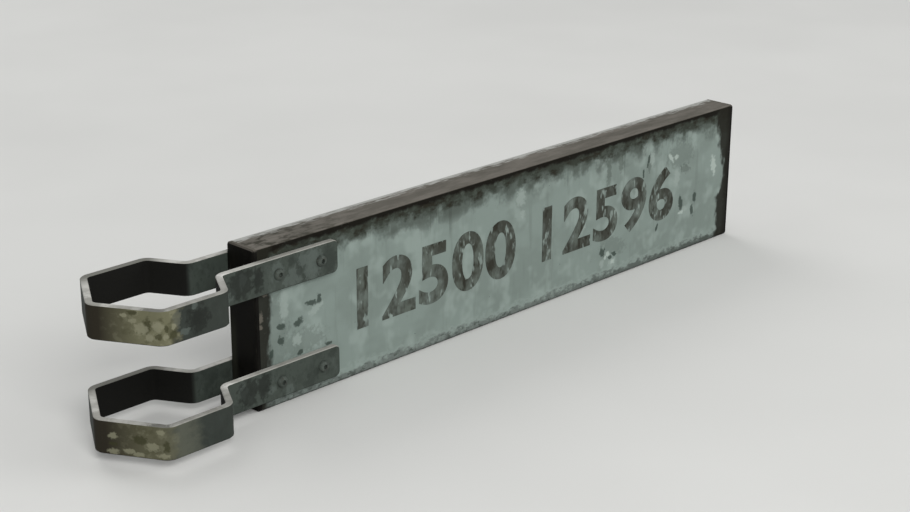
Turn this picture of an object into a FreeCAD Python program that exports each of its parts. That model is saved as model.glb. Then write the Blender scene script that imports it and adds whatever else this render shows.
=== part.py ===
import FreeCAD, Part
import math
import os

# Street name sign: a hollow steel blade, closed by a cap at each end, held out from a round
# post by two folded straps. Each strap is one flat bar. Its middle goes round the post in
# six flats and its two arms lie on the blade's faces, where screws clamp them through
# spacer sleeves inside the blade.
#
# Frame: origin on the post's axis at the blade's mid-height. +X runs out along the blade,
# +Y to the back and +Z up. Millimetres.

# Post and straps
post_diameter = 101.6          # 4 inch tube
post_clearance = 0.4           # from the post's surface to each flat of the loop
strap_thickness = 6.0
strap_width = 30.0
strap_inset = 10.0             # from the blade's top or bottom edge to the strap's edge
fold_radius = 6.0              # inside radius of every fold
neck_length = 40.0             # the arms' run from the loop's last fold to the blade
arm_reach = 90.0               # how far each arm lies along the blade
arm_corner_radius = 5.0
strap_edge_bevel = 0.6         # along the bar's edges

# Blade
blade_length = 680.0           # over both end caps
blade_height = 150.0
blade_thickness = 36.0
blade_wall = 2.0
blade_bend_radius = 1.0        # inside radius of the tube's corners
weep_hole_diameter = 5.0
weep_hole_count = 3
weep_hole_inset = 120.0        # from the blade's ends to the first and last hole

# End caps, moulded, each with a plug that thin fins hold in the tube
cap_flange = 4.0               # what stands beyond the tube's end
cap_edge_bevel = 1.2
cap_plug_depth = 9.0
cap_plug_wall = 2.5
cap_plug_corner = 3.0          # how far its corners are cut off at 45 degrees
cap_cavity_corner = 2.0
cap_plug_gap = 1.0             # from the plug to the tube's inner wall
cap_fin_gap = 0.1              # from a fin's edge to the tube's inner wall
cap_fin_thickness = 1.2
cap_fin_corner = 1.0
cap_fin_count = 2

# M6 button-head screws, each with a washer, a nut and a sleeve
screw_diameter = 6.0
screw_hole_diameter = 6.6      # in straps, blade and sleeves
screw_end_distance = 20.0      # from the arm's end to the far screw
screw_stick_out = 5.2          # beyond the nut
head_diameter = 10.5
head_height = 3.3
head_top_diameter = 5.8        # the head's flat top
head_rim_height = 0.4          # the head's straight edge below its slope
socket_across_flats = 4.0
socket_depth = 2.2
washer_diameter = 12.0
washer_thickness = 1.6
washer_bore_gap = 0.2          # from the screw to the washer's bore
nut_across_flats = 10.0
nut_height = 5.2
thread_gap = 0.05              # from the screw to the nut's bore
sleeve_across_flats = 12.0     # the sleeves are cut from hexagon bar
sleeve_gap = 3.0               # from a cap's plug to the near sleeve

# The loop's six flats are equal, so each of its folds turns this much
fold_angle = math.radians(360.0 / 6)

# Places and lengths worked out from the sizes above
loop_apothem = post_diameter / 2 + post_clearance + strap_thickness / 2
loop_half_side = loop_apothem * math.tan(fold_angle / 2)
loop_tip = loop_apothem / math.cos(fold_angle / 2)
arm_y = blade_thickness / 2 + strap_thickness / 2
last_fold_x = loop_half_side + (loop_apothem - arm_y) * math.tan(fold_angle / 2)
blade_start = last_fold_x + neck_length
blade_end = blade_start + blade_length
tube_start = blade_start + cap_flange
tube_end = blade_end - cap_flange
tube_radius = blade_bend_radius + blade_wall
inner_width = blade_thickness - 2 * blade_wall
inner_height = blade_height - 2 * blade_wall
arm_end = blade_start + arm_reach
strap_face_y = blade_thickness / 2 + strap_thickness
screw_length = 2 * strap_face_y + washer_thickness + nut_height + screw_stick_out
strap_height = blade_height / 2 - strap_inset - strap_width / 2
strap_heights = {"upper": strap_height, "lower": -strap_height}
screw_places = {
    "near": tube_start + cap_plug_depth + sleeve_gap + sleeve_across_flats / 2,
    "far": arm_end - screw_end_distance,
}

slack = 0.001                  # for telling which way an edge runs
origin = FreeCAD.Vector(0, 0, 0)
x_axis = FreeCAD.Vector(1, 0, 0)
y_axis = FreeCAD.Vector(0, 1, 0)
z_axis = FreeCAD.Vector(0, 0, 1)


def strap_path():
    """Corners of a strap's middle line, from the front arm's end round the post to the back's."""
    half = [
        (arm_end, arm_y),
        (last_fold_x, arm_y),
        (loop_half_side, loop_apothem),
        (-loop_half_side, loop_apothem),
    ]
    front = [FreeCAD.Vector(x, -y, 0) for x, y in half]
    back = [FreeCAD.Vector(x, y, 0) for x, y in reversed(half)]
    return front + [FreeCAD.Vector(-loop_tip, 0, 0)] + back


def folded_side(points, offset):
    """Lines and arcs of one side of a folded bar, that far to the left of its middle line."""
    bend = fold_radius + strap_thickness / 2
    along = (points[1] - points[0]).normalize()
    start = points[0] + z_axis.cross(along) * offset
    edges = []
    for before, corner, after in zip(points, points[1:], points[2:]):
        into = (corner - before).normalize()
        out = (after - corner).normalize()
        turn = math.copysign(1.0, into.cross(out).z)
        reach = bend * math.tan(into.getAngle(out) / 2)
        centre = corner - into * reach + z_axis.cross(into) * (turn * bend)
        radius = bend - turn * offset
        first = centre - z_axis.cross(into) * (turn * radius)
        last = centre - z_axis.cross(out) * (turn * radius)
        middle = centre + (corner - centre).normalize() * radius
        edges.append(Part.makeLine(start, first))
        edges.append(Part.Arc(first, middle, last).toShape())
        start = last
    end = points[-1] + z_axis.cross(out) * offset
    edges.append(Part.makeLine(start, end))
    return edges, end


def runs_along(edge, axis):
    """True for a straight edge that runs along that axis."""
    straight = edge.Curve.TypeId == "Part::GeomLine"
    return straight and edge.tangentAt(edge.FirstParameter).cross(axis).Length < slack


def wide_face_edges(bar):
    """Edges of the bar's two wide faces, without the lines where its flats meet its folds."""
    ends = [edge for edge in bar.Edges if runs_along(edge, y_axis)]
    upright = [edge for edge in bar.Edges if runs_along(edge, z_axis)]
    fold_lines = [edge for edge in upright if edge.Length > strap_width - slack]
    left_out = {edge.hashCode() for edge in ends + fold_lines}
    return [edge for edge in bar.Edges if edge.hashCode() not in left_out]


def strap(z):
    """One flat bar folded round the post, with a hole for each screw in both its arms."""
    points = strap_path()
    left, left_end = folded_side(points, strap_thickness / 2)
    right, right_end = folded_side(points, -strap_thickness / 2)
    front_end = Part.makeLine(left[0].Vertexes[0].Point, right[0].Vertexes[0].Point)
    back_end = Part.makeLine(left_end, right_end)
    outline = Part.Wire(Part.__sortEdges__(left + right + [front_end, back_end]))
    bar = Part.Face(outline).extrude(z_axis * strap_width)
    bar.translate(FreeCAD.Vector(0, 0, z - strap_width / 2))
    bar = bar.makeFillet(arm_corner_radius, [edge for edge in bar.Edges if runs_along(edge, y_axis)])
    bar = bar.makeChamfer(strap_edge_bevel, wide_face_edges(bar))
    for x in screw_places.values():
        bar = bar.cut(cross_hole(x, z))
    return bar


def cross_hole(x, z):
    """A screw's hole right through the sign from front to back."""
    reach = 2 * strap_face_y + 2 * strap_thickness
    return Part.makeCylinder(screw_hole_diameter / 2, reach, FreeCAD.Vector(x, -reach / 2, z), y_axis)


def rounded_plate(width, height, radius, x, length):
    """A plate across the blade, from x over that length, with rounded corners."""
    half_width = width / 2 - radius
    half_height = height / 2 - radius
    corners = [(-1, -1), (1, -1), (1, 1), (-1, 1), (-1, -1)]
    core = Part.makePolygon([FreeCAD.Vector(x, a * half_width, b * half_height) for a, b in corners])
    return Part.Face(core.makeOffset2D(radius)).extrude(x_axis * length)


def bevelled_plate(width, height, corner, x, length):
    """A plate across the blade, from x over that length, with its corners cut off."""
    half_width = width / 2
    half_height = height / 2
    points = []
    for a, b in [(1, 1), (-1, 1), (-1, -1), (1, -1)]:
        cut = [(a * half_width, b * (half_height - corner)), (a * (half_width - corner), b * half_height)]
        points += cut if a == b else cut[::-1]
    points = [FreeCAD.Vector(x, y, z) for y, z in points + points[:1]]
    return Part.Face(Part.makePolygon(points)).extrude(x_axis * length)


def blade_tube():
    """The rectangular tube, with the screws' holes and weep holes along its lower wall."""
    length = tube_end - tube_start
    tube = rounded_plate(blade_thickness, blade_height, tube_radius, tube_start, length)
    tube = tube.cut(rounded_plate(inner_width, inner_height, blade_bend_radius, tube_start, length))
    for z in strap_heights.values():
        for x in screw_places.values():
            tube = tube.cut(cross_hole(x, z))
    pitch = (blade_length - 2 * weep_hole_inset) / (weep_hole_count - 1)
    for i in range(weep_hole_count):
        below = FreeCAD.Vector(blade_start + weep_hole_inset + i * pitch, 0, -blade_height / 2 - blade_wall)
        tube = tube.cut(Part.makeCylinder(weep_hole_diameter / 2, 3 * blade_wall, below, z_axis))
    return tube


def end_cap():
    """A cap made at the origin, with its flange's face at x = 0 and its plug towards +X."""
    flange = rounded_plate(blade_thickness, blade_height, tube_radius, 0, cap_flange)
    rim = [edge for edge in flange.Edges if edge.BoundBox.XMax < cap_flange / 2]
    flange = flange.makeChamfer(cap_edge_bevel, rim)
    plug_width = inner_width - 2 * cap_plug_gap
    plug_height = inner_height - 2 * cap_plug_gap
    plug = bevelled_plate(plug_width, plug_height, cap_plug_corner, cap_flange, cap_plug_depth)
    cap = flange.fuse(plug)
    fin_width = inner_width - 2 * cap_fin_gap
    fin_height = inner_height - 2 * cap_fin_gap
    for i in range(cap_fin_count):
        middle = cap_flange + (i + 1) * cap_plug_depth / (cap_fin_count + 1)
        fin_x = middle - cap_fin_thickness / 2
        cap = cap.fuse(bevelled_plate(fin_width, fin_height, cap_fin_corner, fin_x, cap_fin_thickness))
    cavity_width = plug_width - 2 * cap_plug_wall
    cavity_height = plug_height - 2 * cap_plug_wall
    cavity = bevelled_plate(cavity_width, cavity_height, cap_cavity_corner, cap_flange, cap_plug_depth)
    return cap.cut(cavity).removeSplitter()


def post_end_cap():
    """The cap that closes the blade's end beside the post."""
    cap = end_cap()
    cap.translate(x_axis * blade_start)
    return cap


def free_end_cap():
    """The same cap turned round, in the blade's far end."""
    cap = end_cap()
    cap.rotate(origin, z_axis, 180)
    cap.translate(x_axis * blade_end)
    return cap


def hexagon(across_flats, z, height):
    """A hexagonal prism up the Z axis from that height."""
    corner = across_flats / math.sqrt(3)
    turns = [math.radians(60 * i) for i in range(7)]
    points = [FreeCAD.Vector(corner * math.cos(t), corner * math.sin(t), z) for t in turns]
    return Part.Face(Part.makePolygon(points)).extrude(z_axis * height)


def screw_head():
    """The head up the Z axis: a straight rim, a slope up to the flat top, and its hexagon socket."""
    head = Part.makeCylinder(head_diameter / 2, head_rim_height)
    rise = head_height - head_rim_height
    rim = FreeCAD.Vector(0, 0, head_rim_height)
    head = head.fuse(Part.makeCone(head_diameter / 2, head_top_diameter / 2, rise, rim))
    return head.cut(hexagon(socket_across_flats, head_height - socket_depth, socket_depth))


def place(shape, x, y, z, forward):
    """Turns a shape made up the Z axis to point to the front or to the back, and moves it."""
    shape.rotate(origin, x_axis, 90 if forward else -90)
    shape.translate(FreeCAD.Vector(x, y, z))
    return shape


def screw(x, z):
    """Button-head screw: its head on the front arm, its shank back through the whole stack."""
    shank = Part.makeCylinder(screw_diameter / 2, screw_length, origin, -z_axis)
    return place(screw_head().fuse(shank).removeSplitter(), x, -strap_face_y, z, True)


def washer(x, z):
    """Plain washer on the back arm, under the nut."""
    ring = Part.makeCylinder(washer_diameter / 2, washer_thickness)
    ring = ring.cut(Part.makeCylinder(screw_diameter / 2 + washer_bore_gap, washer_thickness))
    return place(ring, x, strap_face_y, z, False)


def nut(x, z):
    """Hexagon nut, bored just clear of the screw."""
    block = hexagon(nut_across_flats, 0, nut_height)
    block = block.cut(Part.makeCylinder(screw_diameter / 2 + thread_gap, nut_height))
    return place(block, x, strap_face_y + washer_thickness, z, False)


def sleeve(x, z):
    """Hexagon spacer between the blade's inner walls, so that the screw can't crush them."""
    spacer = hexagon(sleeve_across_flats, 0, inner_width)
    spacer = spacer.cut(Part.makeCylinder(screw_hole_diameter / 2, inner_width))
    spacer.rotate(origin, z_axis, 30)          # a flat towards the cap
    return place(spacer, x, -inner_width / 2, z, False)


def build():
    """Every piece of the sign by its node name."""
    pieces = {
        "blade_tube": blade_tube(),
        "post_end_cap": post_end_cap(),
        "free_end_cap": free_end_cap(),
    }
    for level, z in strap_heights.items():
        pieces[f"{level}_strap"] = strap(z)
        for spot, x in screw_places.items():
            pieces[f"{level}_{spot}_screw"] = screw(x, z)
            pieces[f"{level}_{spot}_washer"] = washer(x, z)
            pieces[f"{level}_{spot}_nut"] = nut(x, z)
            pieces[f"{level}_{spot}_sleeve"] = sleeve(x, z)
    return pieces


os.makedirs("parts", exist_ok=True)
for name, shape in build().items():
    shape.exportStep(f"parts/{name}.step")
    print(f"{name}: {len(shape.Solids)} solid, {shape.Volume / 1000:.2f} cm3, valid {shape.isValid()}")
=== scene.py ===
import math

import bmesh
import bpy
from mathutils import Matrix, Vector


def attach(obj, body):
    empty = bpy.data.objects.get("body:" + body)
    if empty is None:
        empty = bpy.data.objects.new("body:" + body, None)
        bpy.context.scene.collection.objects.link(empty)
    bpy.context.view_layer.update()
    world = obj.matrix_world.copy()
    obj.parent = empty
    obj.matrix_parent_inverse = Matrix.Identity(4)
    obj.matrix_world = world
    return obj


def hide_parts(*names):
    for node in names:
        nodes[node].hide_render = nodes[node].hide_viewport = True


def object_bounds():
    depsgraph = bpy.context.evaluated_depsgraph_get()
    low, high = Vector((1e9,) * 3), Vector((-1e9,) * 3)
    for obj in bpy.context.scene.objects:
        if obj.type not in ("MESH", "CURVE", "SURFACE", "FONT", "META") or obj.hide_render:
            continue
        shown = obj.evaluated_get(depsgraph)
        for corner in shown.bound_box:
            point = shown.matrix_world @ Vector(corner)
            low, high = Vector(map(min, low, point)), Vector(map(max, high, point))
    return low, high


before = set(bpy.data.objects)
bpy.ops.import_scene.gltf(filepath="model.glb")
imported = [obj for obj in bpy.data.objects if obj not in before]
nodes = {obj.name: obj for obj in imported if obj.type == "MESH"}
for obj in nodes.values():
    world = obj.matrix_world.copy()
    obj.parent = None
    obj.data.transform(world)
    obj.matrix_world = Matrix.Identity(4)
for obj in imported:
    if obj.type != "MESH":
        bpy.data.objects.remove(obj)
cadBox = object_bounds()
mm = 0.001

bpy.context.scene.view_settings.view_transform = "Standard"   # paint colours read as mixed


def linearColour(hexText):
    # sRGB hex to the linear colour that a shader works in
    parts = [int(hexText[i:i + 2], 16) / 255 for i in (1, 3, 5)]
    linear = [c / 12.92 if c <= 0.04045 else ((c + 0.055) / 1.055) ** 2.4 for c in parts]
    return (*linear, 1.0)


def addNode(tree, kind, inputs=None, output=0, **settings):
    # adds a node with its settings; an input is linked if it gets a socket, and else set
    node = tree.nodes.new("ShaderNode" + kind)
    for name, value in settings.items():
        setattr(node, name, value)
    for name, value in (inputs or {}).items():
        if isinstance(value, bpy.types.NodeSocket):
            tree.links.new(value, node.inputs[name])
        else:
            node.inputs[name].default_value = linearColour(value) if isinstance(value, str) else value
    return node.outputs[output]


def stain(tree, place, spread, low, high, shift=0.0, detail=3.0):
    # a soft 0-1 cloud: spread is its patch size in mm along x, y and z, low and high cut it off,
    # shift moves the pattern and detail adds finer clouds to it
    stretched = addNode(tree, "VectorMath", {0: place, 1: [1 / size for size in spread], 2: (shift,) * 3},
                        operation="MULTIPLY_ADD")
    cloud = addNode(tree, "TexNoise", {"Vector": stretched, "Scale": 1.0, "Detail": detail, "Roughness": 0.6})
    return addNode(tree, "MapRange", {"Value": cloud, "From Min": low, "From Max": high},
                   interpolation_type="SMOOTHSTEP")


def fineGrain(tree, place, size):
    # the even fine grain of a painted, moulded or plated surface, size in mm
    return stain(tree, place, (size, size, size), 0.3, 0.7, 0.4)


def raggedEdge(tree, distance, reach, noise, swing, soft):
    # 1 from an edge out to reach mm, with the end drawn out by noise times swing, and blurred over
    # soft mm to either side
    end = addNode(tree, "Math", {0: noise, 1: swing, 2: reach}, operation="MULTIPLY_ADD")
    past = addNode(tree, "Math", {0: distance, 1: end}, operation="SUBTRACT")
    return addNode(tree, "MapRange", {"Value": past, "From Min": -soft, "From Max": soft,
                                      "To Min": 1.0, "To Max": 0.0}, interpolation_type="SMOOTHSTEP")


def chipMarks(tree, place, marks, wobble):
    # single marks: each is (centre, half sizes, turn in degrees); it fades out at 1.6 half sizes,
    # and where it is cut off follows the wobble, so that its outline is ragged
    found = None
    for centre, halfSize, turn in marks:
        local = addNode(tree, "Mapping", {"Vector": place, "Location": centre,
                                          "Scale": [1.6 * s for s in halfSize],
                                          "Rotation": (0.0, math.radians(turn), 0.0)}, vector_type="TEXTURE")
        mark = addNode(tree, "TexGradient", {"Vector": local}, output=1, gradient_type="SPHERICAL")
        found = mark if found is None else addNode(tree, "Math", {0: found, 1: mark}, operation="MAXIMUM")
    ragged = addNode(tree, "Math", {0: wobble, 1: 0.5, 2: found}, operation="MULTIPLY_ADD")
    return addNode(tree, "MapRange", {"Value": ragged, "From Min": 0.46, "From Max": 0.82},
                   interpolation_type="SMOOTHSTEP")


def layerOver(tree, below, above, mask, strength=1.0):
    # lays one finish over another: colour, roughness and height in mm follow the same mask,
    # and a finish with no height of its own only stains what it lies on
    if strength != 1.0:
        mask = addNode(tree, "Math", {0: mask, 1: strength}, operation="MULTIPLY")
    colour = addNode(tree, "Mix", {0: mask, 6: below["colour"], 7: above["colour"]}, 2, data_type="RGBA")
    rough = addNode(tree, "Mix", {0: mask, 2: below["rough"], 3: above["rough"]})
    height = below["height"]
    if "height" in above:
        height = addNode(tree, "Mix", {0: mask, 2: height, 3: above["height"]})
    return {"colour": colour, "rough": rough, "height": height}


def newFinish(name):
    # an empty material with its tree, shader and place in mm
    material = bpy.data.materials.new(name)
    material.use_nodes = True
    tree = material.node_tree
    tree.nodes.clear()
    shader = tree.nodes.new("ShaderNodeBsdfPrincipled")
    output = tree.nodes.new("ShaderNodeOutputMaterial")
    tree.links.new(shader.outputs["BSDF"], output.inputs["Surface"])
    metres = addNode(tree, "TexCoord", output="Object")
    place = addNode(tree, "VectorMath", {0: metres, "Scale": 1000.0}, operation="SCALE")
    return material, tree, shader, place


def dressShader(tree, shader, finish, grain, grainHeight):
    # the finish goes on the shader; grain is a fine 0-1 cloud whose height in mm is added
    tree.links.new(finish["colour"], shader.inputs["Base Color"])
    tree.links.new(finish["rough"], shader.inputs["Roughness"])
    height = addNode(tree, "Math", {0: grain, 1: grainHeight, 2: finish["height"]}, operation="MULTIPLY_ADD")
    normal = addNode(tree, "Bump", {"Height": height, "Distance": mm, "Strength": 1.0})
    tree.links.new(normal, shader.inputs["Normal"])


def paint(nodeNames, material):
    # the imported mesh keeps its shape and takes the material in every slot
    for name in nodeNames:
        mesh = nodes[name].data
        if not mesh.materials:
            mesh.materials.append(material)
        for slot in range(len(mesh.materials)):
            mesh.materials[slot] = material


def onlyThis(piece):
    # an operator acts on all that is selected, so everything else is let go first
    bpy.ops.object.select_all(action="DESELECT")
    piece.select_set(True)
    bpy.context.view_layer.objects.active = piece


cameraPlace = {
    "lens": 69.8266,                                  # mm on a 36 mm sensor
    "location": (-0.790432, -1.121161, 0.575740),
    "heading": 45.53772,                              # degrees from +Y towards +X
    "tilt": 19.79965,                                 # degrees below the horizon
    "roll": 0.22752,
}


def addCamera():
    heading, tilt, roll = (math.radians(cameraPlace[key]) for key in ("heading", "tilt", "roll"))
    look = Vector((math.sin(heading) * math.cos(tilt), math.cos(heading) * math.cos(tilt), -math.sin(tilt)))
    level = look.cross(Vector((0, 0, 1))).normalized()
    upright = level.cross(look)
    right = level * math.cos(roll) + upright * math.sin(roll)
    up = upright * math.cos(roll) - level * math.sin(roll)
    bpy.ops.object.camera_add()
    camera = bpy.context.object
    camera.name = "photoCamera"
    turned = Matrix((right, up, -look)).transposed().to_4x4()
    camera.matrix_world = Matrix.Translation(Vector(cameraPlace["location"])) @ turned
    camera.data.lens = cameraPlace["lens"]
    camera.data.sensor_width = 36.0
    bpy.context.scene.camera = camera


studio = {
    "floorSize": 60.0, "floorMiddle": 0.35,     # m, and the x of its middle
    "floorGap": 0.0002,                         # m of air under the sign
    "floorPaint": {"colour": "#d8d8d5", "rough": 0.85, "height": 0.0},
    "floorWorn": {"colour": "#d3d3d0", "rough": 0.80, "height": 0.0},
    "skyColour": "#f2f3f4",
    "skyStrength": 0.52,
    # place, what it looks at, size in m, watts
    "lamps": {
        "keyBox": ((-1.6, -3.7, 3.0), (0.33, 0.0, 0.0), 2.6, 152.0),
        "fillBox": ((3.9, -3.0, 1.8), (0.40, 0.0, 0.0), 3.2, 66.0),
        "backBox": ((1.2, 3.8, 3.2), (0.35, 0.0, 0.0), 3.2, 62.0),
    },
}


def addStudio():
    floorHeight = cadBox[0].z - studio["floorGap"]
    bpy.ops.mesh.primitive_plane_add(size=studio["floorSize"],
                                     location=(studio["floorMiddle"], 0.0, floorHeight))
    floor = bpy.context.object
    floor.name = "floor"
    # matte floor paint, a little uneven in tone and grain, so that it isn't flat like paper
    material, tree, shader, place = newFinish("matte floor paint")
    cloud = stain(tree, place, (600.0, 600.0, 600.0), 0.3, 0.7)
    finish = layerOver(tree, studio["floorPaint"], studio["floorWorn"], cloud)
    dressShader(tree, shader, finish, stain(tree, place, (1.2, 1.2, 1.2), 0.3, 0.7), 0.02)
    shader.inputs["Specular IOR Level"].default_value = 0.1
    floor.data.materials.append(material)

    world = bpy.data.worlds.new("studioSky")
    bpy.context.scene.world = world
    world.use_nodes = True
    sky = world.node_tree.nodes["Background"]
    sky.inputs["Color"].default_value = linearColour(studio["skyColour"])
    sky.inputs["Strength"].default_value = studio["skyStrength"]

    for name, (spot, target, size, watts) in studio["lamps"].items():
        bpy.ops.object.light_add(type="AREA", location=spot)
        lamp = bpy.context.object
        lamp.name = name
        lamp.data.shape = "DISK"
        lamp.data.size = size
        lamp.data.energy = watts
        lamp.rotation_euler = (Vector(target) - Vector(spot)).to_track_quat("-Z", "Y").to_euler()


print("camera, floor and light")
addCamera()
addStudio()


# the blade: chalky enamel on sheet steel, grimed from its edges inwards; colours, roughness, heights in mm
blade = {
    "postEnd": 90.46, "freeEnd": 770.46, "halfHeight": 75.0, "halfThickness": 18.0,
    "enamel": {"colour": "#7a8680", "rough": 0.60, "height": 0.20},
    "enamelShade": {"colour": "#717c76", "rough": 0.66, "height": 0.19},
    "enamelChalk": {"colour": "#8a9690", "rough": 0.72, "height": 0.21},
    "rainRuns": {"colour": "#646e68", "rough": 0.70, "height": 0.20},
    "soot": {"colour": "#31352e", "rough": 0.88, "height": 0.24},
    "sootBrown": {"colour": "#24221a", "rough": 0.90, "height": 0.25},
    "sootThin": {"colour": "#474e47", "rough": 0.84},
    "rimDirt": {"colour": "#110e09", "rough": 0.92, "height": 0.26},
    "borderRust": {"colour": "#1f1e18", "rough": 0.90, "height": 0.24},
    "bottomWear": {"colour": "#5b615d", "rough": 0.75, "height": 0.16},
    "bottomGrime": {"colour": "#343a35", "rough": 0.84},
    "topDust": {"colour": "#6a665f", "rough": 0.80, "height": 0.20},
    "topDustDark": {"colour": "#5a5750", "rough": 0.80, "height": 0.20},
    "topGrime": {"colour": "#35342c", "rough": 0.88},
    # the rubbed back corner, also a painted highlight
    "bareEdgeAndHighlight": {"colour": "#a5a6a1", "rough": 0.55, "height": 0.10},
    "chipDark": {"colour": "#333d37", "rough": 0.80},
    "chipPale": {"colour": "#8c9791", "rough": 0.60},
    "chipBright": {"colour": "#a4afa8", "rough": 0.58},
    "chipBrown": {"colour": "#6f6a61", "rough": 0.80},
}
# single marks on the front, each (X from the post end, Z from the bottom, half sizes, turn), in mm
darkMarks = [
    (462, 31.5, 4.2, 5.6, -8), (475, 23.5, 3.4, 2.4, 20), (481, 26, 3.6, 2.4, 25), (592, 57, 3.2, 8.0, -10),
    (617, 58, 3.0, 6.6, 0), (613, 43, 3.0, 6.4, -12), (48, 72, 5.2, 3.4, -25), (63, 86, 6.6, 2.8, 8),
    (72, 87, 2.6, 5.0, 0), (28, 73, 4.4, 2.8, 15), (27, 60, 3.2, 4.6, 0), (16, 51, 2.6, 3.6, 0),
    (49, 43, 3.6, 2.2, 0), (82, 42, 3.6, 1.8, 0), (534, 117, 1.8, 7.0, 15), (526, 103, 1.5, 6.0, 0),
    (552, 38, 1.6, 5.0, 25),
]
softRuns = [(488, 124, 3.6, 10.0, 0), (469, 116, 3.6, 14.0, 0), (536, 112, 3.0, 9.0, 10),
            (598, 94, 9.0, 4.6, 10)]
softShades = [(22, 70, 15, 38, 0), (50, 52, 26, 12, 0), (590, 112, 22, 14, 0), (478, 36, 20, 9, 20)]
paleMarks = [
    (68, 79, 9.0, 3.6, -28), (32, 92, 5.0, 15.0, 0), (46, 56, 5.0, 5.0, -40), (515, 82, 2.6, 9.0, 0),
    (540, 118, 4.0, 6.0, 0), (560, 91, 8.0, 3.0, -25), (335, 121, 6.0, 9.0, 0), (338, 104, 3.4, 4.6, 0),
    (584, 88, 4.6, 9.0, 0), (430, 68, 4.0, 4.0, 0), (478, 18, 6.4, 4.6, 0), (462, 20, 3.4, 4.6, 0),
    (600, 48, 5.0, 3.6, 0),
]
brightMarks = [
    (471, 28, 3.6, 2.6, 15), (467, 25, 2.2, 2.6, 0), (479, 18, 3.0, 2.4, 0), (573, 111, 2.2, 6.0, -40),
    (582, 110, 3.8, 2.8, -10), (649, 88, 4.4, 11.5, -12), (594, 45, 4.4, 2.0, 0),
]
brownMarks = [(6, 87, 2.2, 4.6, 0), (4, 79, 3.2, 3.2, 0), (10, 108, 3.0, 3.0, 0)]


def onFront(marks):
    # marks on the blade's front as chipMarks takes them, 6 mm deep
    return [((blade["postEnd"] + x, -blade["halfThickness"], z - blade["halfHeight"]), (sx, 6.0, sz), turn)
            for x, z, sx, sz, turn in marks]


def sunAndRain(tree, place, wobble):
    # sun-bleached enamel in broad clouds, with pale chalky patches, faint rain runs and soft shades
    clouds = stain(tree, place, (70, 70, 48), 0.40, 0.60)
    chalkyPatches = stain(tree, place, (24, 24, 28), 0.50, 0.68, 7.3, 2.0)
    faintRuns = stain(tree, place, (8, 30, 70), 0.54, 0.76, 3.1, 2.0)
    shades = chipMarks(tree, place, onFront(softShades), wobble)
    finish = layerOver(tree, blade["enamel"], blade["enamelShade"], clouds, 0.8)
    finish = layerOver(tree, finish, blade["enamelChalk"], chalkyPatches, 0.65)
    finish = layerOver(tree, finish, blade["rainRuns"], faintRuns, 0.35)
    return layerOver(tree, finish, blade["rainRuns"], shades, 0.6)


def sootUnderTop(tree, place, finish, fromTop):
    # soot hangs from the top edge in soft blotches and drips, and a few run further down
    dripWidth = stain(tree, place, (15, 40, 12), 0.30, 0.70, 1.7, 3.0)
    haloWidth = stain(tree, place, (20, 40, 22), 0.32, 0.68, 6.2, 3.0)
    runLength = stain(tree, place, (9, 40, 400), 0.60, 0.74, 9.4, 2.0)
    halo = raggedEdge(tree, fromTop, 13.5, haloWidth, 16.0, 8.0)
    longRuns = raggedEdge(tree, fromTop, 10.0, runLength, 34.0, 9.0)
    finish = layerOver(tree, finish, blade["rainRuns"], longRuns, 0.7)
    finish = layerOver(tree, finish, blade["soot"], halo, 0.66)
    sootBand = raggedEdge(tree, fromTop, 8.0, dripWidth, 10.0, 5.0)
    finish = layerOver(tree, finish, blade["soot"], sootBand, 0.95)
    thinner = stain(tree, place, (9, 16, 7), 0.52, 0.66, 8.6)
    browner = stain(tree, place, (18, 16, 8), 0.46, 0.64, 5.2)
    for look, patch, strength in ((blade["sootThin"], thinner, 0.7), (blade["sootBrown"], browner, 0.9)):
        inBand = addNode(tree, "Math", {0: sootBand, 1: patch}, operation="MULTIPLY")
        finish = layerOver(tree, finish, look, inBand, strength)
    rim = raggedEdge(tree, fromTop, 3.4, dripWidth, 3.4, 1.8)
    return layerOver(tree, finish, blade["rimDirt"], rim, 0.95)


def wornBottom(tree, place, finish, fromBottom, fromPost):
    # the bottom edge is chalky and then worn grey in a ragged fringe, with dark ticks in it,
    # and darkens towards the free end
    tickWidth = stain(tree, place, (10, 40, 6), 0.32, 0.68, 4.4)
    chalkyFoot = raggedEdge(tree, fromBottom, 8.0, tickWidth, 8.0, 4.0)
    finish = layerOver(tree, finish, blade["enamelChalk"], chalkyFoot, 0.6)
    fringe = raggedEdge(tree, fromBottom, 4.2, tickWidth, 6.4, 3.6)
    finish = layerOver(tree, finish, blade["bottomWear"], fringe, 0.85)
    tickPattern = stain(tree, place, (6, 20, 4), 0.50, 0.64, 11.2)
    outward = addNode(tree, "MapRange", {"Value": fromPost, "From Min": 330.0, "From Max": 640.0})
    tickPattern = addNode(tree, "Math", {0: tickPattern, 1: outward}, operation="MAXIMUM")
    ticks = addNode(tree, "Math", {0: fringe, 1: tickPattern}, operation="MULTIPLY")
    finish = layerOver(tree, finish, blade["bottomGrime"], ticks, 0.65)
    foot = raggedEdge(tree, fromBottom, 0.9, tickWidth, 1.0, 0.8)
    return layerOver(tree, finish, blade["rimDirt"], foot, 0.7)


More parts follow.
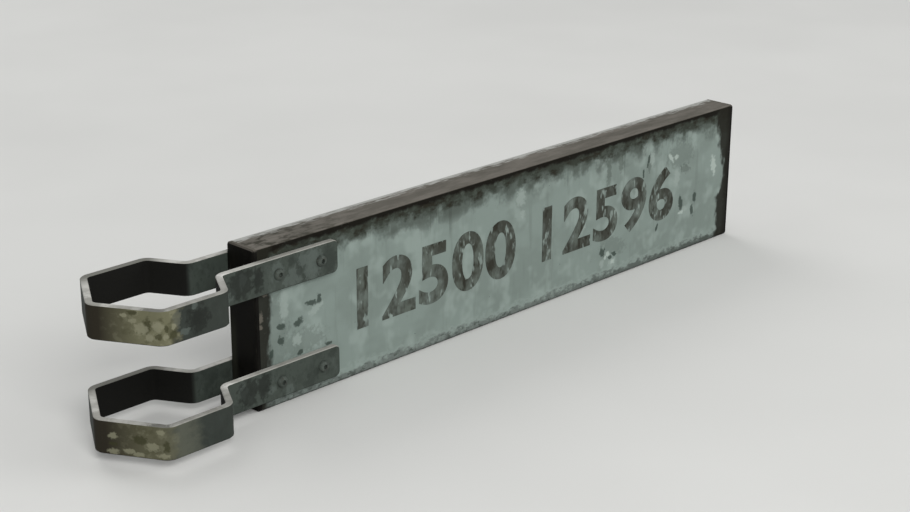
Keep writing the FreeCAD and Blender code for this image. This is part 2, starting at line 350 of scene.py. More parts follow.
def darkEnds(tree, place, finish, fromPost, fromFree, fromBottom):
    # the dark border at the post end widens upwards; the one at the free end is widest at its
    # corners, most of all the top one, and has a darker rim
    widening = addNode(tree, "Math", {0: fromBottom, 1: 0.06, 2: 8.5}, operation="MULTIPLY_ADD")
    endRagged = stain(tree, place, (12, 30, 22), 0.30, 0.70, 2.6, 3.0)
    postBorder = raggedEdge(tree, fromPost, widening, endRagged, 6.0, 3.4)
    freeTop = addNode(tree, "MapRange", {"Value": fromBottom, "From Min": 98.0, "From Max": 110.0,
                                         "To Min": 10.0, "To Max": 20.0})
    freeFoot = addNode(tree, "MapRange", {"Value": fromBottom, "From Min": 48.0, "From Max": 56.0,
                                          "To Min": 7.0, "To Max": 0.0})
    freeReach = addNode(tree, "Math", {0: freeTop, 1: freeFoot}, operation="ADD")
    freeBorder = raggedEdge(tree, fromFree, freeReach, endRagged, 9.0, 3.6)
    borders = addNode(tree, "Math", {0: postBorder, 1: freeBorder}, operation="MAXIMUM")
    finish = layerOver(tree, finish, blade["borderRust"], borders, 0.95)
    freeRim = raggedEdge(tree, fromFree, 7.0, endRagged, 4.0, 4.0)
    return layerOver(tree, finish, blade["rimDirt"], freeRim, 0.6)


def chipsAndRuns(tree, place, finish, wobble):
    # the single chips, scratches and short runs, and dark freckles all over
    for marks, look, strength in ((softRuns, blade["sootThin"], 0.45), (paleMarks, blade["chipPale"], 0.75),
                                  (brightMarks, blade["chipBright"], 0.75),
                                  (darkMarks, blade["chipDark"], 0.85),
                                  (brownMarks, blade["chipBrown"], 0.55)):
        finish = layerOver(tree, finish, look, chipMarks(tree, place, onFront(marks), wobble), strength)
    freckles = stain(tree, place, (2.6, 2.6, 3.4), 0.715, 0.76, 8.8)
    return layerOver(tree, finish, blade["chipDark"], freckles, 0.8)


def dustyTop(tree, place, finish, fromTop, fromPost, towardsBack):
    # dust lies on the top face, grimy by the post, and the back corner is rubbed to a ragged pale line
    # that is also a painted highlight
    onTop = addNode(tree, "MapRange", {"Value": fromTop, "From Min": 0.5, "From Max": 1.1,
                                       "To Min": 1.0, "To Max": 0.0})
    drifts = stain(tree, place, (60, 12, 12), 0.35, 0.65, 2.2)
    dust = layerOver(tree, blade["topDust"], blade["topDustDark"], drifts)
    byPost = addNode(tree, "MapRange", {"Value": fromPost, "From Min": 30.0, "From Max": 150.0,
                                        "To Min": 0.9, "To Max": 0.15})
    grimePatches = stain(tree, place, (14, 7, 9), 0.44, 0.64, 3.7)
    grime = addNode(tree, "Math", {0: byPost, 1: grimePatches}, operation="MULTIPLY")
    finish = layerOver(tree, finish, layerOver(tree, dust, blade["topGrime"], grime), onTop)
    lineWear = stain(tree, place, (16, 3, 3), 0.30, 0.70, 4.1)
    backLine = addNode(tree, "Math", {0: lineWear, 1: 8.0, 2: towardsBack}, operation="MULTIPLY_ADD")
    atBack = addNode(tree, "MapRange", {"Value": backLine, "From Min": 11.0, "From Max": 17.0})
    upHere = addNode(tree, "MapRange", {"Value": fromTop, "From Min": 1.2, "From Max": 2.0,
                                        "To Min": 1.0, "To Max": 0.0})
    rubbed = addNode(tree, "Math", {0: atBack, 1: upHere}, operation="MULTIPLY")
    # the pale back line: rubbed paint and a painted highlight
    return layerOver(tree, finish, blade["bareEdgeAndHighlight"], rubbed, 0.9)


def signEnamel(tree, place):
    # the whole weathered surface of the blade; the numerals use it too, where they are worn through
    axis = addNode(tree, "SeparateXYZ", {0: place}).node.outputs
    fromTop = addNode(tree, "Math", {0: blade["halfHeight"], 1: axis["Z"]}, operation="SUBTRACT")
    fromBottom = addNode(tree, "Math", {0: axis["Z"], 1: blade["halfHeight"]}, operation="ADD")
    fromPost = addNode(tree, "Math", {0: axis["X"], 1: blade["postEnd"]}, operation="SUBTRACT")
    fromFree = addNode(tree, "Math", {0: blade["freeEnd"], 1: axis["X"]}, operation="SUBTRACT")
    wobble = stain(tree, place, (3.4, 3.4, 3.4), 0.25, 0.75, 6.6)

    finish = sunAndRain(tree, place, wobble)
    finish = sootUnderTop(tree, place, finish, fromTop)
    finish = wornBottom(tree, place, finish, fromBottom, fromPost)
    finish = darkEnds(tree, place, finish, fromPost, fromFree, fromBottom)
    finish = chipsAndRuns(tree, place, finish, wobble)
    return dustyTop(tree, place, finish, fromTop, fromPost, axis["Y"])


def finishBlade():
    # alkyd enamel on sheet steel: chalked by the sun it is matt, with dirt where rain dries last
    material, tree, shader, place = newFinish("chalked enamel on sheet steel")
    dressShader(tree, shader, signEnamel(tree, place), fineGrain(tree, place, 1.6), 0.03)
    shader.inputs["IOR"].default_value = 1.5
    shader.inputs["Specular IOR Level"].default_value = 0.1       # chalk and soot scatter most of the gloss
    paint(["blade_tube"], material)


print("blade")
finishBlade()


# the end caps: black moulded polyethylene
cap = {
    "moulded": {"colour": "#080705", "rough": 0.62, "height": 0.0},
    "dusty": {"colour": "#171612", "rough": 0.80, "height": 0.01},
    "scuffed": {"colour": "#292822", "rough": 0.85, "height": -0.03},
    "washed": {"colour": "#25261f", "rough": 0.85},
    "ledgeDust": {"colour": "#5e5a53", "rough": 0.85, "height": 0.01},
}


def finishCaps():
    # moulded polyethylene: waxy and near black, with pale scuffs, grey dust where it faces up,
    # and low down at the back a paler place that rain has washed
    material, tree, shader, place = newFinish("moulded black polyethylene")
    dustClouds = stain(tree, place, (14, 9, 22), 0.42, 0.72)
    scuffs = stain(tree, place, (2.5, 2.5, 14), 0.62, 0.72, 3.3)
    finish = layerOver(tree, cap["moulded"], cap["dusty"], dustClouds, 0.55)
    finish = layerOver(tree, finish, cap["scuffed"], scuffs, 0.6)
    facing = addNode(tree, "NewGeometry", output="Normal")
    upwards = addNode(tree, "SeparateXYZ", {0: facing}, output="Z")
    ledge = addNode(tree, "MapRange", {"Value": upwards, "From Min": 0.3, "From Max": 0.9})
    finish = layerOver(tree, finish, cap["ledgeDust"], ledge, 0.9)
    axis = addNode(tree, "SeparateXYZ", {0: place}).node.outputs
    backSide = addNode(tree, "MapRange", {"Value": axis["Y"], "From Min": 7.0, "From Max": 12.0})
    lowDown = addNode(tree, "MapRange", {"Value": axis["Z"], "From Min": -8.0, "From Max": 14.0,
                                         "To Min": 0.9, "To Max": 0.1})
    lowBack = addNode(tree, "Math", {0: backSide, 1: lowDown}, operation="MULTIPLY")
    finish = layerOver(tree, finish, cap["washed"], lowBack)
    dressShader(tree, shader, finish, fineGrain(tree, place, 0.9), 0.02)
    shader.inputs["IOR"].default_value = 1.51
    shader.inputs["Specular IOR Level"].default_value = 0.08      # dusty, so it hardly shines
    paint(["post_end_cap", "free_end_cap"], material)


print("end caps")
finishCaps()


# the straps: old dark paint on flat bar, mossy where they face the weather
strap = {
    "tip": -64.0,                                         # x of the loops' tip, mm
    "armFace": -24.0,                                     # y of the front arms' outer faces, mm
    "old": {"colour": "#3c433d", "rough": 0.70, "height": 0.15},
    "darker": {"colour": "#2d332e", "rough": 0.76, "height": 0.14},
    "bleached": {"colour": "#505853", "rough": 0.72, "height": 0.16},
    "loopShade": {"colour": "#282c28", "rough": 0.76},
    "shaded": {"colour": "#191c18", "rough": 0.82},
    "brownRust": {"colour": "#27231a", "rough": 0.90, "height": 0.18},
    "lichen": {"colour": "#66654f", "rough": 0.88, "height": 0.24},
    "lichenPale": {"colour": "#7e7d68", "rough": 0.86, "height": 0.32},
    "lichenDark": {"colour": "#34341f", "rough": 0.92, "height": 0.17},
    "mossGrey": {"colour": "#5a5c50", "rough": 0.86},
    # soot from the post, near black also as painted shade inside the loops
    "postSootAndShade": {"colour": "#0c0b08", "rough": 0.90, "height": 0.12},
    # the upper narrow edges: rubbed paint with a painted highlight, in bright, dull and grimy stretches and
    # near white at the folds
    "rubbedEdgeAndHighlight": {"colour": "#b6b5af", "rough": 0.55, "height": 0.05},
    "dullRubAndHighlight": {"colour": "#84837c", "rough": 0.66, "height": 0.07},
    "grimyEdgeAndHighlight": {"colour": "#62625b", "rough": 0.75, "height": 0.09},
    "darkEdge": {"colour": "#3f3f38", "rough": 0.80, "height": 0.10},
    "bareFoldAndHighlight": {"colour": "#cfcec9", "rough": 0.50, "height": 0.04},
    # painted shade on the lower narrow edges
    "undersideShade": {"colour": "#20221b", "rough": 0.88, "height": 0.14},
}
# patches on the front arms, each (x, z, half sizes, turn) in mm in the sign's own frame
paleArmPatches = [(130, 44, 8, 8, 0), (151, 51, 8, 12, 0), (112, 56, 6, 5, 0), (74, 55, 5, 5, 0),
                  (121, -60, 5, 5, 0), (100, -54, 6, 4, 0), (60, 44, 5, 6, 0), (70, -45, 5, 8, 0),
                  (73, 52, 3, 6, 0), (112, 52, 7, 10, 0), (129, 40, 12, 6, 0), (150, 44, 9, 10, 0)]
darkArmPatches = [(127, 58, 3.6, 4.5, 15), (136, 47, 3.4, 5, 0), (171, 49, 7, 15, 0), (88, 50, 4, 6, 20),
                  (161, -50, 4, 3, 0), (152, -53, 3, 4, 0), (143, -54, 2.4, 2.4, 0), (112, -53, 3, 2.6, 0),
                  (95, -51, 4, 3.4, 0), (172, -41, 5, 4, 0)]
# broad shades, then smaller spots, on arms and front walls, each (x, y, z, half width and half height)
shadePools = [(1, -57, 50, 11, 11), (72, -24, 52, 14, 15), (90, -24, 50, 6, 12), (76, -24, -48, 11, 14),
              (92, -24, -48, 8, 12)]
paleSpots = [(-46, -34, 55, 2.6, 2.1), (-50, -28, 59, 1.6, 1.6), (-43, -40, 49, 5.1, 4.8),
             (-35, -53, 52, 3.8, 4.8), (-39, -46, 42, 2.6, 3.0), (-43, -39, 66, 2.0, 1.6),
             (-23, -57, 50, 2.3, 2.6), (-31, -57, 43, 2.5, 2.6), (-58, -14, -62, 3.4, 2.6),
             (-51, -26, -60, 3.9, 2.1), (-47, -33, -62, 3.4, 2.0), (-41, -44, -54, 5.9, 3.4),
             (-36, -52, -61, 5.4, 2.2), (-37, -51, -40, 2.2, 2.2), (-58, -14, -48, 2.4, 3.0)]
darkSpots = [(-46, -34, 62, 2.6, 1.8), (-40, -46, 52, 1.8, 5.1), (-35, -53, 43, 2.6, 2.6),
             (-30, -57, 50, 1.8, 3.1), (-58, -14, -55, 2.6, 1.8), (-47, -35, -49, 7.5, 4.0),
             (-34, -55, -53, 2.1, 5.1), (-24, -57, 43, 3.6, 3.6)]
greySpots = [(-2, -57, 63, 2.6, 2.6), (-8, -57, 58, 3.0, 2.5), (0, -57, 51, 5.0, 6.0),
             (-13, -57, 42, 3.8, 2.1)]
bleachedSpots = [(153, -24, 52, 9.0, 12.0), (140, -24, 56, 5.0, 6.0), (-2, -57, 62, 3.0, 3.6),
                 (-12, -57, 43, 5.0, 3.0)]
mossSpots = [(-20, -57, 56, 4.0, 8.0)]
# places on the narrow edges that both loops share, each (x, y, half sizes)
foldCorner = [(-40, -50, 12, 9)]
tipCorner = [(-60, 0, 9, 12)]
neckFolds = [(54, -27, 7, 6), (52, -50, 7, 6)]


def bothLoops(places):
    # marks as chipMarks takes them, so tall that they reach both straps
    return [((x, y, 0.0), (sx, sy, 900.0), 0) for x, y, sx, sy in places]


def patchyPaint(tree, place, axis):
    # old dark paint, darker round the loop, with bleached and dark patches on the arms and broad shades
    darkClouds = stain(tree, place, (14, 14, 18), 0.40, 0.70)
    bleachedClouds = stain(tree, place, (9, 9, 14), 0.50, 0.78, 4.1)
    finish = layerOver(tree, strap["old"], strap["darker"], darkClouds, 0.7)
    finish = layerOver(tree, finish, strap["bleached"], bleachedClouds, 0.45)
    onLoop = addNode(tree, "MapRange", {"Value": axis["X"], "From Min": 34.0, "From Max": 56.0,
                                        "To Min": 0.7, "To Max": 0.0})
    finish = layerOver(tree, finish, strap["loopShade"], onLoop)
    wobble = stain(tree, place, (5.0, 5.0, 5.0), 0.25, 0.75, 6.6)
    for patches, look in ((paleArmPatches, strap["bleached"]), (darkArmPatches, strap["darker"])):
        placed = [((x, strap["armFace"], z), (sx, 8.0, sz), turn) for x, z, sx, sz, turn in patches]
        finish = layerOver(tree, finish, look, chipMarks(tree, place, placed, wobble), 0.7)
    speckles = stain(tree, place, (4.5, 4.5, 6.5), 0.54, 0.66, 3.3)
    finish = layerOver(tree, finish, strap["darker"], speckles, 0.5)
    placed = [((x, y, z), (size, 9.0, high), 0) for x, y, z, size, high in shadePools]
    return layerOver(tree, finish, strap["shaded"], chipMarks(tree, place, placed, wobble), 0.7)


def lichenRoundTip(tree, place, finish, axis, spotEdge):
    # lichen and rust on the walls round the tip: brown at the tip, mossy and paler towards the first
    # fold and a little past it
    fromTip = addNode(tree, "Math", {0: axis["X"], 1: -strap["tip"]}, operation="ADD")
    mossEnd = stain(tree, place, (14, 14, 9), 0.3, 0.7, 1.9)
    mossReach = addNode(tree, "MapRange", {"Value": axis["Z"], "From Min": -5.0, "From Max": 5.0,
                                           "To Min": 32.0, "To Max": 38.0})
    nearTip = raggedEdge(tree, fromTip, mossReach, mossEnd, 10.0, 6.0)
    inFront = addNode(tree, "MapRange", {"Value": axis["Y"], "From Min": 2.0, "From Max": 14.0,
                                         "To Min": 1.0, "To Max": 0.0})
    mossy = addNode(tree, "Math", {0: nearTip, 1: inFront}, operation="MULTIPLY")
    finish = layerOver(tree, finish, strap["brownRust"], mossy)
    towardsFold = addNode(tree, "MapRange", {"Value": fromTip, "From Min": 3.0, "From Max": 21.0})
    growth = addNode(tree, "Math", {0: mossy, 1: towardsFold}, operation="MULTIPLY")
    moreOnUpper = addNode(tree, "MapRange", {"Value": axis["Z"], "From Min": -5.0, "From Max": 5.0,
                                             "To Min": 0.62, "To Max": 1.0})
    growth = addNode(tree, "Math", {0: growth, 1: moreOnUpper}, operation="MULTIPLY")
    finish = layerOver(tree, finish, strap["lichen"], growth)
    for look, low, shift in ((strap["lichenDark"], 0.48, 2.7), (strap["lichenPale"], 0.50, 5.9)):
        cloud = stain(tree, place, (9, 9, 8), low, 0.66, shift)
        patch = addNode(tree, "Math", {0: growth, 1: cloud}, operation="MULTIPLY")
        finish = layerOver(tree, finish, look, patch, 0.5)

    # past its fold the lower loop greys, and the grey fades out into the old paint
    greyEnd = raggedEdge(tree, axis["X"], -10.0, mossEnd, 9.0, 12.0)
    pastFold = addNode(tree, "MapRange", {"Value": axis["X"], "From Min": -38.0, "From Max": -22.0})
    onLower = addNode(tree, "MapRange", {"Value": axis["Z"], "From Min": -5.0, "From Max": 5.0,
                                         "To Min": 0.65, "To Max": 0.0})
    greyed = inFront
    for part in (greyEnd, pastFold, onLower):
        greyed = addNode(tree, "Math", {0: greyed, 1: part}, operation="MULTIPLY")
    finish = layerOver(tree, finish, strap["mossGrey"], greyed)

    for spots, look, strength in ((greySpots, strap["shaded"], 0.45), (bleachedSpots, strap["bleached"], 0.7),
                                  (mossSpots, strap["mossGrey"], 0.65),
                                  (darkSpots, strap["lichenDark"], 0.75),
                                  (paleSpots, strap["lichenPale"], 0.75)):
        placed = [((x, y, z), (size, 6.0, high), 0) for x, y, z, size, high in spots]
        finish = layerOver(tree, finish, look, chipMarks(tree, place, placed, spotEdge), strength)
    return finish


def blackInside(tree, place, finish, axis, facing):
    # the faces that the post has rubbed and blackened are the ones that look back at its axis; their near
    # black is also painted shade inside the loops
    level = addNode(tree, "VectorMath", {0: place, 1: (1, 1, 0)}, operation="MULTIPLY")
    outwards = addNode(tree, "VectorMath", {0: level}, operation="NORMALIZE")
    turned = addNode(tree, "VectorMath", {0: facing, 1: outwards}, output="Value", operation="DOT_PRODUCT")
    inwards = addNode(tree, "MapRange", {"Value": turned, "From Min": -0.75, "From Max": -0.6,
                                         "To Min": 1.0, "To Max": 0.0})
    atPost = addNode(tree, "MapRange", {"Value": axis["X"], "From Min": 48.0, "From Max": 53.0,
                                        "To Min": 1.0, "To Max": 0.0})
    atPostInwards = addNode(tree, "Math", {0: inwards, 1: atPost}, operation="MULTIPLY")
    return layerOver(tree, finish, strap["postSootAndShade"], atPostInwards, 0.96)


def wornAndLitEdges(tree, place, finish, axis, upwards, spotEdge):
    # the narrow edges: the upper ones are rubbed and carry a painted highlight, brightest round the tip and
    # the neck, duller along the arms, and grimy in front and still more behind; the lower ones are dark with
    # painted shade
    topEdge = addNode(tree, "MapRange", {"Value": upwards, "From Min": 0.35, "From Max": 0.6})
    lowEdge = addNode(tree, "MapRange", {"Value": upwards, "From Min": -0.6, "From Max": -0.35,
                                         "To Min": 1.0, "To Max": 0.0})
    dullStretches = stain(tree, place, (13, 13, 13), 0.40, 0.66, 7.7)
    edge = layerOver(tree, strap["rubbedEdgeAndHighlight"], strap["dullRubAndHighlight"], dullStretches, 0.6)
    frontRun = addNode(tree, "MapRange", {"Value": axis["Y"], "From Min": -52.0, "From Max": -4.0,
                                          "To Min": 0.5, "To Max": 0.0})
    backRun = addNode(tree, "MapRange", {"Value": axis["Y"], "From Min": 34.0, "From Max": 52.0,
                                         "To Min": 0.0, "To Max": 0.9})
    grimyRuns = addNode(tree, "Math", {0: frontRun, 1: backRun}, operation="MAXIMUM")
    edge = layerOver(tree, edge, strap["grimyEdgeAndHighlight"], grimyRuns)
    alongArm = addNode(tree, "MapRange", {"Value": axis["X"], "From Min": 78.0, "From Max": 110.0})
    for places, look, strength in ((foldCorner, strap["darkEdge"], 0.6),
                                   (tipCorner, strap["dullRubAndHighlight"], 0.7)):
        edge = layerOver(tree, edge, look, chipMarks(tree, place, bothLoops(places), spotEdge), strength)
    edge = layerOver(tree, edge, strap["dullRubAndHighlight"], alongArm, 0.55)
    neck = chipMarks(tree, place, bothLoops(neckFolds), spotEdge)
    edge = layerOver(tree, edge, strap["bareFoldAndHighlight"], neck, 0.7)
    # the upper edges get the rubbed paint and painted highlight, the lower ones painted shade
    finish = layerOver(tree, finish, edge, topEdge)
    return layerOver(tree, finish, strap["undersideShade"], lowEdge)


def finishStraps():
    # thick brush paint on mild-steel flat bar, dull and dark, worn to grey steel on its narrow edges,
    # with a painted highlight on the upper ones and painted shade on the lower ones
    material, tree, shader, place = newFinish("old brush paint on flat bar")
    axis = addNode(tree, "SeparateXYZ", {0: place}).node.outputs
    facing = addNode(tree, "NewGeometry", output="Normal")
    upwards = addNode(tree, "SeparateXYZ", {0: facing}, output="Z")
    spotEdge = stain(tree, place, (2.6, 2.6, 2.6), 0.2, 0.8, 6.6)

    finish = patchyPaint(tree, place, axis)
    finish = lichenRoundTip(tree, place, finish, axis, spotEdge)
    finish = blackInside(tree, place, finish, axis, facing)
    finish = wornAndLitEdges(tree, place, finish, axis, upwards, spotEdge)
    dressShader(tree, shader, finish, fineGrain(tree, place, 1.4), 0.05)
    shader.inputs["IOR"].default_value = 1.5
    shader.inputs["Specular IOR Level"].default_value = 0.2       # weathered brush paint is nearly matt
    paint(["upper_strap", "lower_strap"], material)


print("straps")
finishStraps()


# the numerals: brushed on dark, then faded and flaked
numerals = {
    "numbers": (("12500", 313.0), ("12596", 563.5)),      # what is written, and its middle along x in mm
    "width": 211.0, "height": 60.0, "lowest": -31.0, "film": 0.25,        # mm
    "weight": 0.030, "apart": 1.06, "curveSteps": 8,      # stroke, spacing and smoothness of the figures
    "paint": {"colour": "#363831", "rough": 0.74, "height": 0.30},
    "paintDark": {"colour": "#25241b", "rough": 0.80, "height": 0.32},
    "paintFaded": {"colour": "#545b54", "rough": 0.78, "height": 0.24},
}


def writeNumber(name, text, middle, side, material):
    # raised paint film, read from in front (side -1) or from behind (side 1)
    bpy.ops.object.select_all(action="DESELECT")
    bpy.ops.object.text_add()
    written = bpy.context.object
    written.data.body = text
    written.data.align_x = "CENTER"
    written.data.offset = numerals["weight"]
    written.data.space_character = numerals["apart"]
    written.data.resolution_u = numerals["curveSteps"]
    written.data.extrude = 0.5                            # any depth: it is scaled to the film below
    bpy.ops.object.convert(target="MESH")
    piece = bpy.context.object
    piece.name = piece.data.name = name
    corners = [piece.matrix_world @ Vector(c) for c in piece.bound_box]
    low = Vector([min(c[i] for c in corners) for i in range(3)])
    high = Vector([max(c[i] for c in corners) for i in range(3)])
    size = Vector((numerals["width"], numerals["height"], numerals["film"])) * mm
    centre = (low + high) / 2
    for corner in piece.data.vertices:
        corner.co = Vector([(corner.co[i] - centre[i]) / (high[i] - low[i]) * size[i] for i in range(3)])
    outOfBlade = side * (blade["halfThickness"] + numerals["film"] / 2)
    piece.rotation_euler = (math.pi / 2, 0.0, 0.0 if side < 0 else math.pi)
    piece.location = Vector((middle, outOfBlade, numerals["lowest"] + numerals["height"] / 2)) * mm
    bpy.ops.object.transform_apply(location=True, rotation=True, scale=True)
    bpy.ops.object.mode_set(mode="EDIT")
    bpy.ops.mesh.select_all(action="SELECT")
    bpy.ops.mesh.remove_doubles(threshold=0.00001)
    bpy.ops.mesh.normals_make_consistent(inside=False)
    bpy.ops.object.mode_set(mode="OBJECT")
    piece.data.materials.clear()
    piece.data.materials.append(material)
    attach(piece, "root")


def makeNumerals():
    # signwriter's enamel: it fades in patches, keeps darker cores and flakes down to the blade's own paint
    material, tree, shader, place = newFinish("faded signwriting enamel")
    below = signEnamel(tree, place)
    fading = stain(tree, place, (17, 17, 26), 0.40, 0.64, 3.9)
    cores = stain(tree, place, (9, 9, 22), 0.48, 0.66, 8.1)
    finish = layerOver(tree, numerals["paint"], numerals["paintFaded"], fading)
    finish = layerOver(tree, finish, numerals["paintDark"], cores, 0.9)
    thin = stain(tree, place, (24, 24, 30), 0.48, 0.72, 12.3)
    flaked = stain(tree, place, (6.0, 6.0, 15.0), 0.57, 0.70, 15.7, 2.5)
    gone = addNode(tree, "Math", {0: thin, 1: 0.40, 2: flaked}, operation="MULTIPLY_ADD")
    finish = layerOver(tree, finish, below, addNode(tree, "Clamp", {"Value": gone}))
    dressShader(tree, shader, finish, fineGrain(tree, place, 1.6), 0.03)
    shader.inputs["IOR"].default_value = 1.5
    shader.inputs["Specular IOR Level"].default_value = 0.2
    (first, nearPost), (last, nearFree) = numerals["numbers"]
    writeNumber("numerals_front_first", first, nearPost, -1, material)
    writeNumber("numerals_front_last", last, nearFree, -1, material)
    writeNumber("numerals_back_first", first, nearFree, 1, material)
    writeNumber("numerals_back_last", last, nearPost, 1, material)


print("numerals")
makeNumerals()


# the screws: button heads painted over with the straps, zinc-plated threads behind
screw = {
    "headRadius": 5.25, "rim": 0.4, "headHeight": 3.3, "crownRadius": 2.9, "crownSteps": 7, "sides": 48,
    "socketFlats": 4.0, "socketDepth": 2.2, "shankRadius": 3.0, "coreRadius": 2.42,
    "length": 60.0, "threaded": 9.0, "pitch": 1.0, "tipBevel": 0.8, "tipNarrowing": 0.5,
    "ridge": 0.4, "ridgeStretch": 1.3,                    # the thread's three-sided section, longer along z
    "threadStart": 0.5, "threadSteps": 28,                # mm past the shoulder, and steps in one turn
    "paintedTo": -1.0,                                    # z to which the straps' paint reaches, mm
    "smoothBelow": 32.0,                                  # degrees
    "seat": -24.0,                                        # y of the faces that the heads sit on, mm
    "places": {"upper_near": (112.46, 50.0), "upper_far": (160.46, 50.0),
               "lower_near": (112.46, -50.0), "lower_far": (160.46, -50.0)},
    "overpaint": {"colour": "#454c46", "rough": 0.74, "height": 0.10},
    "overpaintDark": {"colour": "#363c37", "rough": 0.80, "height": 0.08},
    "headRust": {"colour": "#38342b", "rough": 0.88, "height": 0.05},
    "zinc": {"colour": "#7d7e7c", "rough": 0.50, "height": 0.05},
    "zincBloom": {"colour": "#a6a7a3", "rough": 0.78, "height": 0.08},
    "nutRust": {"colour": "#5b3f28", "rough": 0.88, "height": 0.12},
}


def pickFaces(piece, wanted):
    # selects the faces of the piece in edit mode that the test wants
    shape = bmesh.from_edit_mesh(piece.data)
    for face in shape.faces:
        face.select_set(wanted(face))
    shape.select_flush_mode()
    bmesh.update_edit_mesh(piece.data)


def pushOut(distance, shrink):
    # extrudes the selected end by distance along z, then narrows it
    bpy.ops.mesh.extrude_region_move(TRANSFORM_OT_translate={"value": (0.0, 0.0, distance * mm)})
    if shrink != 1.0:
        bpy.ops.transform.resize(value=(shrink, shrink, 1.0), center_override=(0.0, 0.0, 0.0))


def turnedBody():
    # head and shank in one, head up, its seat at z 0
    s = screw
    bpy.ops.object.select_all(action="DESELECT")
    bpy.ops.mesh.primitive_cylinder_add(vertices=s["sides"], radius=s["headRadius"] * mm,
                                        depth=s["rim"] * mm, location=(0.0, 0.0, s["rim"] / 2 * mm))
    body = bpy.context.object
    bpy.ops.object.transform_apply(location=True)
    bpy.ops.object.mode_set(mode="EDIT")
    bpy.ops.mesh.select_mode(type="FACE")

    # the crown is a quarter turn in steps
    pickFaces(body, lambda face: face.normal.z > 0.9)
    radius = s["headRadius"]
    stepTurn = math.pi / 2 / s["crownSteps"]
    for step in range(1, s["crownSteps"] + 1):
        turn = math.pi / 2 * step / s["crownSteps"]
        wanted = s["crownRadius"] + (s["headRadius"] - s["crownRadius"]) * math.cos(turn)
        rise = (s["headHeight"] - s["rim"]) * (math.sin(turn) - math.sin(turn - stepTurn))
        pushOut(rise, wanted / radius)
        radius = wanted

    # below it come the shank, its shoulder, the core that carries the thread, and the bevelled tip
    pickFaces(body, lambda face: face.normal.z < -0.9)
    bpy.ops.mesh.inset(thickness=(s["headRadius"] - s["shankRadius"]) * mm, depth=0.0)
    pushOut(-(s["length"] - s["threaded"]), 1.0)
    bpy.ops.mesh.inset(thickness=(s["shankRadius"] - s["coreRadius"]) * mm, depth=0.0)
    pushOut(-(s["threaded"] - s["tipBevel"]), 1.0)
    pushOut(-s["tipBevel"], (s["coreRadius"] - s["tipNarrowing"]) / s["coreRadius"])
    bpy.ops.mesh.select_all(action="SELECT")
    bpy.ops.mesh.normals_make_consistent(inside=False)
    bpy.ops.object.mode_set(mode="OBJECT")
    return body


def combine(body, tool, operation):
    # a boolean with a tool that is thrown away afterwards
    onlyThis(body)
    cut = body.modifiers.new("cut", "BOOLEAN")
    cut.operation = operation
    cut.solver = "EXACT"
    cut.object = tool
    bpy.ops.object.modifier_apply(modifier=cut.name)
    onlyThis(tool)
    bpy.ops.object.delete()


def cutSocket(body):
    # the hexagon socket for the key
    s = screw
    bpy.ops.object.select_all(action="DESELECT")
    bpy.ops.mesh.primitive_cylinder_add(vertices=6, radius=s["socketFlats"] / math.sqrt(3) * mm,
                                        depth=2 * s["socketDepth"] * mm,
                                        location=(0.0, 0.0, s["headHeight"] * mm))
    combine(body, bpy.context.object, "DIFFERENCE")


def rolledThread():
    # a three-sided ridge, wound down the end of the shank by the screw modifier
    s = screw
    bpy.ops.object.select_all(action="DESELECT")
    bpy.ops.mesh.primitive_circle_add(vertices=3, radius=s["ridge"] * mm, fill_type="NOTHING",
                                      rotation=(math.pi / 2, math.pi / 2, 0.0))
    thread = bpy.context.object
    bpy.ops.object.transform_apply(rotation=True)
    widest = max(v.co.x for v in thread.data.vertices)
    threadTop = (s["length"] - s["threaded"] + s["threadStart"]) * mm
    for v in thread.data.vertices:
        v.co = (v.co.x - widest + s["shankRadius"] * mm, 0.0, v.co.z * s["ridgeStretch"] - threadTop)
    wound = thread.modifiers.new("wound", "SCREW")
    wound.axis = "Z"
    wound.angle = 2 * math.pi
    wound.screw_offset = -s["pitch"] * mm
    wound.iterations = int(s["threaded"] / s["pitch"] - 1)
    wound.steps = wound.render_steps = s["threadSteps"]
    onlyThis(thread)
    bpy.ops.object.modifier_apply(modifier=wound.name)
    taperFrom = (s["length"] - s["tipBevel"]) * mm            # the last turn fades into the bevelled tip
    for v in thread.data.vertices:
        reach = math.hypot(v.co.x, v.co.y)
        allowed = s["shankRadius"] * mm - max(0.0, -v.co.z - taperFrom)
        if reach > allowed:
            v.co.x = v.co.x * allowed / reach
            v.co.y = v.co.y * allowed / reach
    bpy.ops.object.mode_set(mode="EDIT")
    bpy.ops.mesh.select_all(action="SELECT")
    bpy.ops.mesh.fill_holes(sides=4)
    bpy.ops.mesh.normals_make_consistent(inside=False)
    bpy.ops.object.mode_set(mode="OBJECT")
    return thread


def fastenerFinishes():
    # the heads carry the straps' paint; behind, bright zinc has gone dull with white bloom and rust
    painted, tree, shader, place = newFinish("overpainted steel head")
    patches = stain(tree, place, (5, 5, 5), 0.38, 0.62, 1.1)
    specks = stain(tree, place, (2.4, 2.4, 2.4), 0.56, 0.68, 4.7)
    finish = layerOver(tree, screw["overpaint"], screw["overpaintDark"], patches)
    finish = layerOver(tree, finish, screw["headRust"], specks, 0.5)
    dressShader(tree, shader, finish, fineGrain(tree, place, 0.8), 0.03)
    shader.inputs["Specular IOR Level"].default_value = 0.3

    plated, tree, shader, place = newFinish("dulled zinc plate")
    bloom = stain(tree, place, (3.5, 3.5, 3.5), 0.45, 0.65, 2.2)
    rust = stain(tree, place, (4.5, 4.5, 4.5), 0.50, 0.62, 9.3)
    finish = layerOver(tree, screw["zinc"], screw["zincBloom"], bloom, 0.8)
    finish = layerOver(tree, finish, screw["nutRust"], rust, 0.85)
    dressShader(tree, shader, finish, fineGrain(tree, place, 0.8), 0.03)
    shader.inputs["Metallic"].default_value = 0.6
    return painted, plated


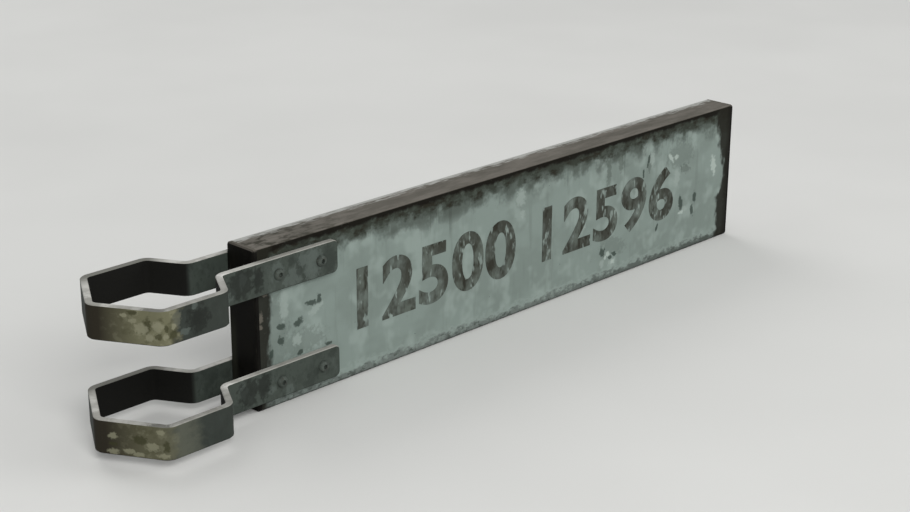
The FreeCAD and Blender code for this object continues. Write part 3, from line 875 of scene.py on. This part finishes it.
def setOut(pattern, kind, seat, turn):
    # a copy of the pattern in each of the four places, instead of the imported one; then the pattern goes
    for name, (x, z) in screw["places"].items():
        onlyThis(pattern)
        bpy.ops.object.duplicate()
        piece = bpy.context.object
        piece.name = piece.data.name = kind + "_" + name
        piece.rotation_euler = (turn, 0.0, 0.0)
        piece.location = Vector((x, seat, z)) * mm
        bpy.ops.object.transform_apply(location=True, rotation=True, scale=True)
        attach(piece, "root")
        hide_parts(name + "_" + kind)
    onlyThis(pattern)
    bpy.ops.object.delete()


def makeScrews(painted, plated):
    pattern = turnedBody()
    cutSocket(pattern)
    thread = rolledThread()
    bpy.ops.object.select_all(action="DESELECT")
    thread.select_set(True)
    pattern.select_set(True)
    bpy.context.view_layer.objects.active = pattern
    bpy.ops.object.join()
    pattern.data.materials.clear()
    pattern.data.materials.append(painted)
    pattern.data.materials.append(plated)
    for face in pattern.data.polygons:
        face.material_index = 0 if face.center.z > screw["paintedTo"] * mm else 1
    bpy.ops.object.shade_smooth_by_angle(angle=math.radians(screw["smoothBelow"]))
    setOut(pattern, "screw", screw["seat"], math.pi / 2)


print("screws")
paintedSteel, platedSteel = fastenerFinishes()
makeScrews(paintedSteel, platedSteel)


# the nuts: plated M6 hexagons behind the back arms, on plain washers
nut = {
    "flats": 10.0, "height": 5.2, "blankRadius": 6.0, "blankSides": 50, "bevel": 0.7, "bevelCircle": 9.5,
    "boreRadius": 3.05, "boreSides": 40,
    "smoothBelow": 25.0,                                  # degrees
    "seat": 25.6,                                         # y of the washers' outer faces, mm
}


def makeNuts(plated):
    # a turned blank with both rims bevelled, cut to a hexagon and bored
    n = nut
    bpy.ops.object.select_all(action="DESELECT")
    bpy.ops.mesh.primitive_cylinder_add(vertices=n["blankSides"], radius=n["blankRadius"] * mm,
                                        depth=(n["height"] - 2 * n["bevel"]) * mm,
                                        location=(0.0, 0.0, n["height"] / 2 * mm))
    blank = bpy.context.object
    bpy.ops.object.transform_apply(location=True)
    bpy.ops.object.mode_set(mode="EDIT")
    bpy.ops.mesh.select_mode(type="FACE")
    for side in (1, -1):
        pickFaces(blank, lambda face: face.normal.z * side > 0.9)
        pushOut(side * n["bevel"], n["bevelCircle"] / 2 / n["blankRadius"])
    bpy.ops.object.mode_set(mode="OBJECT")
    hexagon = (6, n["flats"] / math.sqrt(3), "INTERSECT")
    bore = (n["boreSides"], n["boreRadius"], "DIFFERENCE")
    for sides, radius, operation in (hexagon, bore):
        bpy.ops.object.select_all(action="DESELECT")
        bpy.ops.mesh.primitive_cylinder_add(vertices=sides, radius=radius * mm, depth=4 * n["height"] * mm,
                                            rotation=(0.0, 0.0, math.pi / 6))
        combine(blank, bpy.context.object, operation)
    blank.data.materials.clear()
    blank.data.materials.append(plated)
    onlyThis(blank)
    bpy.ops.object.shade_smooth_by_angle(angle=math.radians(n["smoothBelow"]))
    setOut(blank, "nut", n["seat"], -math.pi / 2)


print("nuts, washers and sleeves")
makeNuts(platedSteel)
paint([name + "_" + kind for name in screw["places"] for kind in ("washer", "sleeve")], platedSteel)
